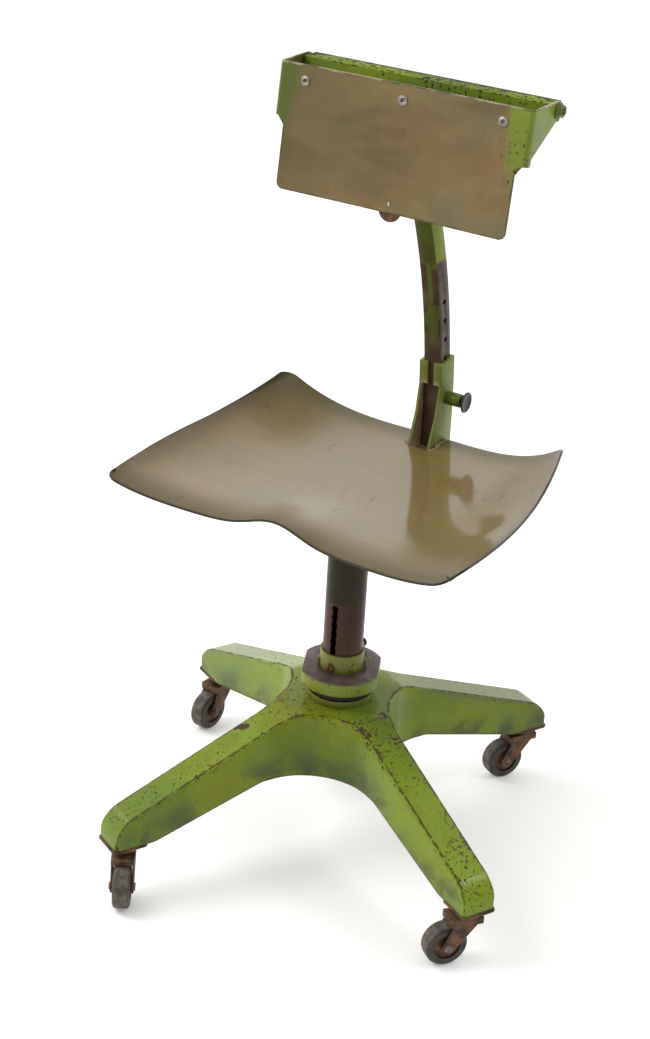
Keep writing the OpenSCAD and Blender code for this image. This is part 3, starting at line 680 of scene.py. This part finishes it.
def refined(node, width, material):
    """The CAD node's own shape with real rounded edges, standing for that node."""
    source = frame["nodes"][node]
    data = source.data.copy()
    mesh = bmesh.new()
    mesh.from_mesh(data)
    bmesh.ops.remove_doubles(mesh, verts=mesh.verts, dist=0.00001)
    bmesh.ops.dissolve_limit(mesh, angle_limit=math.radians(0.6), verts=mesh.verts, edges=mesh.edges)
    mesh.to_mesh(data)
    mesh.free()
    piece = added(node + "_fine", data)
    data.materials.clear()
    bevelled(piece, width)
    paint(piece, material)
    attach(piece, source["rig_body"])
    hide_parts(node)
    return piece


def grid_faces(rows, columns, start=0):
    """Quads between neighbouring rows of points."""
    return [
        (start + r * columns + c, start + r * columns + c + 1,
         start + (r + 1) * columns + c + 1, start + (r + 1) * columns + c)
        for r in range(rows - 1) for c in range(columns - 1)
    ]


def spaced(low, high, count):
    return [low + (high - low) * i / count for i in range(count + 1)]


# ---------- base ----------

LEG_TURN = math.radians(-26.8)
LEG_HALF = 0.0213
WEB_R = 0.083
LEG_REACH = 0.307
CREASE = 0.072
HUB_TOP = 0.195
LEG_END_TOP = 0.1027
LEG_END_LOW = 0.0734
WEB_LOW = 0.113
END_ROUND = 0.040
PLAN_ROUND = 0.0045
EDGE_ROUND = 0.0042
HUB_HOLE = 0.030
CREASE_SOFT = 0.0035
FOOT_FROM, FOOT_TO = 0.118, 0.258  # the legs' lower edge falls between these distances from the axis

FALL = (HUB_TOP - LEG_END_TOP) / (LEG_REACH - CREASE)
LEAN = math.atan(FALL)
ROLL_X = LEG_REACH - END_ROUND
ROLL_Z = HUB_TOP - FALL * (ROLL_X - CREASE) - END_ROUND / math.cos(LEAN)
ROLL_END = ROLL_X + END_ROUND * math.sin(LEAN)


def leg_top(m):
    """Height of the top, and its outward direction along and up, at distance m along a leg."""
    if m > ROLL_END:
        t = min(1, (m - ROLL_X) / END_ROUND)
        return ROLL_Z + END_ROUND * math.sqrt(1 - t * t), t, math.sqrt(1 - t * t)
    past = (m - CREASE) / CREASE_SOFT
    if past > 8:
        soft, slope = past, 1
    else:
        soft, slope = math.log1p(math.exp(past)), 1 / (1 + math.exp(-past))
    lean = math.atan(FALL * slope)
    return HUB_TOP - FALL * CREASE_SOFT * soft, math.sin(lean), math.cos(lean)


def leg_low(m):
    share = min(1, max(0, (m - FOOT_FROM) / (FOOT_TO - FOOT_FROM)))
    return WEB_LOW + (LEG_END_LOW - WEB_LOW) * share


def leg_edge(p):
    """Half the width of a leg in plan, at distance p along it."""
    past = max(0, p - (LEG_REACH - PLAN_ROUND))
    return LEG_HALF - PLAN_ROUND + math.sqrt(max(0, PLAN_ROUND ** 2 - past * past))


def base_rows():
    """One quarter of the plan: each row runs from the outline (point, inward direction) to the middle."""
    web_at = LEG_HALF + WEB_R
    ways = []
    for step in range(15):
        turn = (math.pi / 2 - LEAN) * step / 14
        ways.append(ROLL_X + END_ROUND * math.cos(turn))
    ways += spaced(ROLL_END, web_at, 34)[1:]
    legs = []
    for p in ways:
        past = max(0, p - (LEG_REACH - PLAN_ROUND)) / PLAN_ROUND
        inward = Vector((-past, -math.sqrt(max(0, 1 - past * past))))
        legs.append((Vector((p, leg_edge(p))), inward, Vector((p, 0))))
    web = []
    steps = 44
    for i in range(1, steps):
        t = i / steps
        a = -math.pi / 2 * (1 + t)
        out = Vector((math.cos(a), math.sin(a)))
        edge = Vector((web_at, web_at)) + WEB_R * out
        if t < 0.35:
            inner = Vector((web_at + (HUB_HOLE - web_at) * t / 0.35, 0))
        elif t > 0.65:
            inner = Vector((0, HUB_HOLE + (web_at - HUB_HOLE) * (t - 0.65) / 0.35))
        else:
            b = math.pi / 2 * (t - 0.35) / 0.3
            inner = HUB_HOLE * Vector((math.cos(b), math.sin(b)))
        web.append((edge, out, inner))
    mirrored = [tuple(Vector((v.y, v.x)) for v in row) for row in reversed(legs)]
    return legs + web + mirrored


def base_point(x, y, drop):
    """Point of the top at a plan place, sunk by drop along its normal."""
    m = max(abs(x), abs(y))
    z, along, up = leg_top(m)
    way = Vector((math.copysign(1, x), 0)) if abs(x) >= abs(y) else Vector((0, math.copysign(1, y)))
    return Vector((x - way.x * along * drop, y - way.y * along * drop, z - up * drop))


def make_base():
    across = 20
    wall_steps = 8
    points, faces, edge, rim, crease, top = [], [], [], [], [], []
    rows = base_rows()
    round_steps = 6

    def add(point, quarter, edge_gap, rim_gap, crease_gap, is_top):
        turned_point = Matrix.Rotation(LEG_TURN + quarter * math.pi / 2, 3, "Z") @ point
        points.append(turned_point)
        edge.append(edge_gap)
        rim.append(rim_gap)
        crease.append(crease_gap)
        top.append(is_top)

    def corner_gap(m):
        """Distance from the middle of a leg's rounded upright corner, and whether this is past it."""
        past = min(1, (m - LEG_REACH + PLAN_ROUND) / PLAN_ROUND)
        if past < 0:
            return 1, False
        turn = math.asin(past) - math.pi / 4
        return PLAN_ROUND * abs(turn), turn > 0

    for quarter in range(4):
        start = len(points)
        for outer, inward, inner in rows:
            m = max(abs(outer.x), abs(outer.y))
            is_end = corner_gap(m)[1]
            radius = EDGE_ROUND * leg_top(m)[2]
            span = (inner - outer).length
            gaps = [radius * (1 - math.cos(math.pi / 2 * k / round_steps)) for k in range(round_steps)]
            anchor = outer + inward * radius
            for k in range(across + 1):
                if k < round_steps:
                    gap = gaps[k]
                    place = outer + inward * gap
                    drop = radius - math.sqrt(max(0, radius ** 2 - (radius - gap) ** 2))
                else:
                    share = (k - round_steps) / (across - round_steps)
                    place = anchor.lerp(inner, share)
                    drop = 0
                    gap = radius + span * share
                here = max(abs(place.x), abs(place.y))
                side = min(abs(place.x), abs(place.y))
                line = abs(here - CREASE) if side < 0.062 else 1
                worn = 1 if is_end else abs(gap - radius * 0.8)
                add(base_point(place.x, place.y, drop), quarter, worn, 1, line, 1)
        faces += grid_faces(len(rows), across + 1, start)
        start = len(points)
        for outer, inward, inner in rows:
            m = max(abs(outer.x), abs(outer.y))
            radius = EDGE_ROUND * leg_top(m)[2]
            high = base_point(outer.x, outer.y, radius)
            low = leg_low(m)
            corner, is_end = corner_gap(m)
            for k in range(wall_steps + 1):
                z = high.z + (low - high.z) * k / wall_steps
                worn = corner if is_end else min(corner, high.z - z + radius * 0.8)
                add(Vector((high.x, high.y, z)), quarter, worn, z - low, 1, 0)
        faces += grid_faces(len(rows), wall_steps + 1, start)
        for swap in (False, True):
            start = len(points)
            outer, inward, inner = rows[0]
            z_top = base_point(outer.x, outer.y, 0).z
            for k in range(wall_steps + 1):
                z = z_top + (LEG_END_LOW - z_top) * k / wall_steps
                for j in range(9):
                    q = outer.y * (1 - j / 8)
                    end = Vector((q, LEG_REACH, z)) if swap else Vector((LEG_REACH, q, z))
                    add(end, quarter, 1, z - LEG_END_LOW, 1, 0)
            faces += grid_faces(wall_steps + 1, 9, start)
    values = {"edge": edge, "rim": rim, "crease": crease, "top": top}
    piece = sheet_piece("base_casting", points, faces, 0.003, BASE, "base", values)
    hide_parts("base_shell")
    return piece


# ---------- seat ----------

SEAT_FRONT = -0.167  # y of the seat's front edge at its middle
SEAT_REAR = 0.1885
SEAT_DEPTH = SEAT_REAR - SEAT_FRONT
SEAT_REAR_HALF = 0.191
SEAT_FLARE = 0.025
SEAT_SHEET = 0.0025
NOTCH_HALF = 0.0152
NOTCH_Y = 0.148
CORNER_U = 0.93
CORNER_CUT = 0.016


def corner_cut(u):
    t = max(0, (abs(u) - CORNER_U) / (1 - CORNER_U))
    return CORNER_CUT * (1 - math.sqrt(max(0, 1 - t * t)))


def seat_half(v):
    return SEAT_REAR_HALF + SEAT_FLARE * (1 - v) + 0.060 * v * (1 - v)


def seat_point(x, v):
    """Point of the seat's surface at x across and v from 0 at the front to 1 at the rear."""
    u = max(-1, min(1, x / seat_half(v)))
    rear = SEAT_REAR - 0.034 * u * u - corner_cut(u)
    front = SEAT_FRONT - 0.016 * abs(u) ** 1.8 + corner_cut(u)
    middle = 0.467 - 0.005 * v - 0.030 * v * (1 - v)
    side = 0.485 + 0.028 * v ** 4
    bend = 5 - 1.8 * v + 4 * v * (1 - v)
    pommel = 0.017 * math.exp(-((x / 0.042) ** 2)) * max(0, 1 - v / 0.45) ** 2
    z = middle + (side - middle) * abs(u) ** bend + pommel
    return Vector((x, front + (rear - front) * v, z))


def make_seat():
    """The saddle, with its slot for the bracket. The sheet lies above seat_point's surface."""
    side_columns, middle_columns, front_rows, rear_rows = 46, 4, 66, 10
    notch_v = (NOTCH_Y - SEAT_FRONT) / SEAT_DEPTH
    ways = spaced(0, notch_v, front_rows) + spaced(notch_v, 1, rear_rows)[1:]
    points, front, rear, rim = [], [], [], []
    columns = 2 * side_columns + middle_columns + 1
    for v in ways:
        half = seat_half(v)
        edge = [NOTCH_HALF + (half - NOTCH_HALF) * math.sin(math.pi / 2 * i / side_columns)
                for i in range(1, side_columns + 1)]
        middle = spaced(-NOTCH_HALF, NOTCH_HALF, middle_columns)
        across = [-x for x in reversed(edge)] + middle + edge
        for x in across:
            point = seat_point(x, v)
            depth = seat_point(x, 1).y - seat_point(x, 0).y
            points.append(point)
            front.append(v * depth)
            rear.append((1 - v) * depth)
            rim.append(min(v * depth, (1 - v) * depth, half - abs(x)))
    first = side_columns
    faces = [
        face for i, face in enumerate(grid_faces(len(ways), columns))
        if not (i // (columns - 1) >= front_rows and first <= i % (columns - 1) < first + middle_columns)
    ]
    piece = sheet_piece("seat_saddle", points, faces, SEAT_SHEET, SEAT, "seat",
                        {"front": front, "rear": rear, "rim": rim}, 0.0009)
    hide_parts("seat_pan")
    return piece


# ---------- backrest ----------

PAN_LEAN = math.radians(7.6)
PAN_FOOT = Vector((0, 0.0346, 0.7799))
PAN_HALF = 0.1556
PAN_LOW_HALF = 0.1431
PAN_SHEET = 0.002
PAN_DISH = 0.003
PAN_BEND = 0.005
PAN_CORNER = 0.008
PIVOT = Vector((0, 0.110, 0.907))
EAR = 0.010
SHOULDER_Z = 0.8589
PAN_TOP_Z = 0.918
PAN_HIGH = (PAN_TOP_Z - PAN_FOOT.z) / math.cos(PAN_LEAN)
SHOULDER = (SHOULDER_Z - PAN_FOOT.z) / math.cos(PAN_LEAN)
SHOULDER_SLOPE = 0.009
PAD_ACROSS = (-0.1213, 0, 0.1213)
PAD_UP = 0.122


def on_pan(x, up, out=0.0):
    """Place at x across, up the pan's face, and out in front of its flat plane."""
    c, s = math.cos(PAN_LEAN), math.sin(PAN_LEAN)
    return PAN_FOOT + Vector((x, up * s - out * c, up * c + out * s))


def pan_face(x):
    """How far the hollow face lies in front of its plane, at x across."""
    return -PAN_DISH * (1 - (x / PAN_LOW_HALF) ** 2)


def flap_rear(z):
    """How far back a flap reaches at a height."""
    if z > PIVOT.z - 0.005:
        return PIVOT.y + math.sqrt(max(0, EAR ** 2 - (min(z, PIVOT.z + EAR) - PIVOT.z) ** 2))
    return PAN_FOOT.y + 0.0134 + (PIVOT.y + 0.0086 - 0.048) * max(0, z - SHOULDER_Z - 0.003) / 0.0401


def pan_half_at(up):
    """Half the width of the pan at a height up its face."""
    if up < PAN_CORNER:
        return PAN_LOW_HALF - PAN_CORNER + math.sqrt(PAN_CORNER ** 2 - (PAN_CORNER - up) ** 2)
    if up < SHOULDER - SHOULDER_SLOPE:
        return PAN_LOW_HALF
    share = min(1, (up - SHOULDER + SHOULDER_SLOPE) / SHOULDER_SLOPE)
    return PAN_LOW_HALF + (PAN_HALF - PAN_BEND - PAN_LOW_HALF) * share


def make_backrest():
    """The pan in one sheet: hollow face, and two flaps bent back to the pivot."""
    points, rim, behind = [], [], []
    columns = 60
    corner = [PAN_CORNER * (1 - math.cos(math.pi / 2 * i / 5)) for i in range(6)]
    ups = corner + spaced(PAN_CORNER, SHOULDER - SHOULDER_SLOPE, 26)[1:]
    ups += spaced(SHOULDER - SHOULDER_SLOPE, SHOULDER, 4)[1:]
    for up in ups:
        half = pan_half_at(up)
        for i in range(columns + 1):
            x = half * math.sin(math.pi / 2 * (2 * i / columns - 1))
            points.append(on_pan(x, up, pan_face(x)))
            rim.append(min(up, half - abs(x)))
            behind.append(0)
    faces = grid_faces(len(ups), columns + 1)
    bend_steps, flap_steps = 6, 10
    flat_half = PAN_HALF - PAN_BEND
    highs = spaced(SHOULDER, PAN_HIGH, 22)
    start = len(points)
    face_out = pan_face(flat_half)
    for up in highs:
        left = []
        front = on_pan(-PAN_HALF, up, face_out - PAN_BEND)
        depth = max(0.004, flap_rear(front.z) - front.y)
        for i in range(flap_steps):
            gap = depth * i / flap_steps
            left.append((front + Vector((0, depth - gap, 0)), gap, 1))
        for i in range(bend_steps):
            t = math.pi / 2 * (1 - i / bend_steps)
            x = -flat_half - PAN_BEND * math.sin(t)
            left.append((on_pan(x, up, face_out - PAN_BEND * (1 - math.cos(t))), 1, 0))
        middle = []
        for i in range(columns + 1):
            x = flat_half * math.sin(math.pi / 2 * (2 * i / columns - 1))
            middle.append((on_pan(x, up, pan_face(x)), PAN_HIGH - up, 0))
        right = [(Vector((-p.x, p.y, p.z)), r, b) for p, r, b in reversed(left)]
        for point, gap, back_side in left + middle + right:
            points.append(point)
            rim.append(min(gap, PAN_HIGH - up))
            behind.append(back_side)
    faces += grid_faces(len(highs), 2 * (bend_steps + flap_steps) + columns + 1, start)
    piece = sheet_piece("back_panel", points, faces, PAN_SHEET, BACK, "backrest",
                        {"rim": rim, "behind": behind}, 0.0006)
    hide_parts("backrest_pan")
    return piece


# ---------- turned and small pieces ----------

STEM_R = 0.285  # from the column's axis to a caster's stem
# Leg, the angle of its stem and the angle its wheel trails to, in degrees.
CASTERS = (("fl", -116.8, 301.5), ("fr", -26.8, 231.9), ("br", 63.2, 238.3), ("bl", 153.2, 263.6))


def lathe(name, profile, place, axis, material, body, steps=48, values=None):
    """A turned piece: profile holds (radius, distance along the axis), and values a number for each."""
    turn = Vector(axis).to_track_quat("Z", "Y").to_matrix()
    points = []
    for r, along in profile:
        for i in range(steps + 1):
            a = 2 * math.pi * i / steps
            points.append(Vector(place) + turn @ Vector((r * math.cos(a), r * math.sin(a), along)))
    spread = {key: [v for v in row for _ in range(steps + 1)] for key, row in (values or {}).items()}
    return new_piece(name, points, grid_faces(len(profile), steps + 1), material, body, spread)


def arc(centre_r, centre_z, radius, start, end, steps=6):
    """Profile points on an arc, with angles in degrees."""
    return [
        (centre_r + radius * math.cos(math.radians(a)), centre_z + radius * math.sin(math.radians(a)))
        for a in spaced(start, end, steps)
    ]


def make_rivets():
    """Three tubular rivets in the backrest's face."""
    normal = on_pan(0, 0, 1) - on_pan(0, 0, 0)
    for side, x in zip(("left", "centre", "right"), PAD_ACROSS):
        place = on_pan(x, PAD_UP, pan_face(x))
        profile = [(0.0020, -0.0075), (0.0020, 0.0004)] + arc(0.0029, 0.0006, 0.0009, 180, 60, 5)
        profile += [(0.0040, 0.0010)] + arc(0.0050, 0.0005, 0.0008, 80, -10, 5) + [(0.0058, -0.0001)]
        profile += [(0.0032, -0.0002), (0.0032, -0.0075), (0.0020, -0.0075)]
        rivet = lathe(f"rivet_{side}", profile, place, normal, ZINC, "backrest")
        if side == "left":
            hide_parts("pad_rivets")


def make_tyres():
    """A worn rubber tyre on each caster, dusty where it rolls."""
    half, r, round_r = 0.010, 0.0254, 0.0045
    side = [(0.016, -half), (0.0185, -half), (0.0195, -half + 0.0004), (r - round_r, -half + 0.0004)]
    turn = arc(r - round_r, -half + round_r, round_r, -80, 0, 6)
    first = side + turn
    profile = first + [(a, -b) for a, b in reversed(first)] + [first[0]]
    half_tread = [0] * len(side) + [i / 6 for i in range(7)]
    tread = half_tread + half_tread[::-1] + [0]
    for leg, turn, trail in CASTERS:
        stem, way = math.radians(turn), math.radians(trail)
        x = STEM_R * math.cos(stem) + r * math.cos(way)
        y = STEM_R * math.sin(stem) + r * math.sin(way)
        node = "wheel_tyre_" + leg
        tyre = lathe("tyre_" + leg, profile, (x, y, r), (-math.sin(way), math.cos(way), 0), TREAD,
                     frame["nodes"][node]["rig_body"], 64, {"tread": tread})
        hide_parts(node)


def lump(name, place, size, material, body, seed, squash):
    """A small uneven blob of weld or rust."""
    mesh = bmesh.new()
    bmesh.ops.create_icosphere(mesh, subdivisions=3, radius=1)
    draw = random.Random(seed)
    bumps = []
    for _ in range(7):
        way = Vector([draw.uniform(-1, 1) for _ in range(3)]).normalized()
        bumps.append((way, draw.uniform(0.1, 0.3)))
    for vert in mesh.verts:
        grow = 1 + sum(h * max(0, vert.co.dot(way)) ** 6 for way, h in bumps) - 0.1
        vert.co = Vector(place) + Vector([c * grow * size * q for c, q in zip(vert.co, squash)])
    data = bpy.data.meshes.new(name)
    mesh.to_mesh(data)
    mesh.free()
    smooth(data, 80)
    piece = added(name, data)
    paint(piece, material)
    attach(piece, body)
    return piece


def make_welds():
    """Weld beads where the bracket passes through the seat."""
    draw = random.Random(5)
    for side in (-1, 1):
        for i in range(9):
            y = 0.152 + 0.0042 * i + draw.uniform(-0.0008, 0.0008)
            x = side * (0.0166 + draw.uniform(0, 0.0012))
            z = seat_point(x, (y - SEAT_FRONT) / SEAT_DEPTH).z + 0.0003
            size = 0.0038 + draw.uniform(0, 0.001)
            name = f"weld_{'left' if side > 0 else 'right'}_{i}"
            lump(name, (x, y, z), size, WELD, "seat", 40 + i + 20 * side, (0.9, 1.1, 0.7))
    for i in range(6):
        x = -0.0135 + 0.0054 * i
        z = seat_point(x, (0.149 - SEAT_FRONT) / SEAT_DEPTH).z - 0.0004
        place = (x, 0.1485 + draw.uniform(-0.0006, 0.0006), z)
        size = 0.0032 + draw.uniform(0, 0.0008)
        lump(f"weld_front_{i}", place, size, WELD, "seat", 90 + i, (1.1, 0.8, 0.6))


def make_rust():
    """A rusty lump on the yoke bar's end, and one at the backrest's shoulder."""
    lump("rust_bar", (-0.1485, 0.111, 0.9135), 0.0042, RUSTY, "back_post", 7, (0.8, 1.2, 0.8))
    x = 0.1435
    place = on_pan(x, SHOULDER - 0.006, pan_face(x) - 0.0006)
    lump("rust_shoulder", place, 0.0026, RUSTY, "backrest", 8, (0.9, 0.5, 1.2))


make_base()
make_seat()
make_backrest()
make_rivets()
make_tyres()
make_welds()
make_rust()

LEGS = ("fl", "fr", "br", "bl")

# Nodes redrawn with rounded edges: the rounding's width, the material and its slot.
REFINED = {
    "swivel_ring": (0.0016, RING, "green_paint"),
    "socket_tube": (0.0008, COLLAR, "green_paint"),
    "upper_race": (0.0006, RACE_SHADE, "dark_steel"),
    "lower_race": (0.0008, HUB, "green_paint"),
    "bracket_channel": (0.0007, BRACKET, "green_paint"),
    "post_tube": (0.0012, POST, "post_brown"),
    "yoke_bar": (0.0020, BAR, "green_paint"),
    "yoke_gussets": (0.0006, GREEN, "green_paint"),
    "caster_plates": (0.0008, RUSTY, "rusty_steel"),
    "pivot_nut": (0.0006, PLUNGER, "dark_steel"),
    "pivot_rod": (0.0008, RUSTY, "rusty_steel"),
    "collar_rivets": (0.0009, COLLAR, "green_paint"),
    "guide_screw": (0.0006, RUSTY, "rusty_steel"),
    "back_plunger_housing": (0.0006, PLUNGER, "green_paint"),
    "height_plunger_housing": (0.0006, PLUNGER, "green_paint"),
    "bumper_disc": (0.0008, RUSTY, "rusty_steel"),
    "bumper_rivet": (0.0005, BRIGHT, "bright_steel"),
    "back_plunger_knob": (0.0007, KNOB, "knob_steel"),
    "height_plunger_knob": (0.0007, KNOB, "knob_steel"),
    "seat_frame": (0.0008, DARK, "dark_steel"),
}
for leg in LEGS:
    REFINED["caster_fork_" + leg] = (0.0005, RUSTY, "rusty_steel")
    REFINED["caster_axle_" + leg] = (0.0005, AXLE, "rusty_steel")
for node, (width, material, slot) in REFINED.items():
    refined(node, width, material)

KEPT = {"column_tube": COLUMN, "bearing_balls": RACE_SHADE}
for node in ("hub_reinforcement", "pivot_sleeve", "caster_sockets", "retaining_ring"):
    KEPT[node] = DARK
for plunger in ("height_plunger_", "back_plunger_"):
    KEPT[plunger + "pin"] = ZINC
    KEPT[plunger + "spring"] = ZINC
for leg in LEGS:
    KEPT["wheel_core_" + leg] = RUSTY
for node, material in KEPT.items():
    paint(frame["nodes"][node], material)


def make_floor():
    data = bpy.data.meshes.new("floor")
    half = 60
    corners = [(-half, -half, 0), (half, -half, 0), (half, half, 0), (-half, half, 0)]
    data.from_pydata(corners, [], [(0, 1, 2, 3)])
    floor = added("floor", data)
    f = Finish("pale_floor", specular=0.2)
    f.shader.inputs["Emission Color"].default_value = (1, 1, 1, 1)
    f.shader.inputs["Emission Strength"].default_value = 0.16
    colour = f.mix(f.step(f.noise(3, 2), 0.3, 0.7), (0.86, 0.86, 0.855), (0.88, 0.88, 0.875))
    paint(floor, f.done(colour, 0.7))


make_floor()
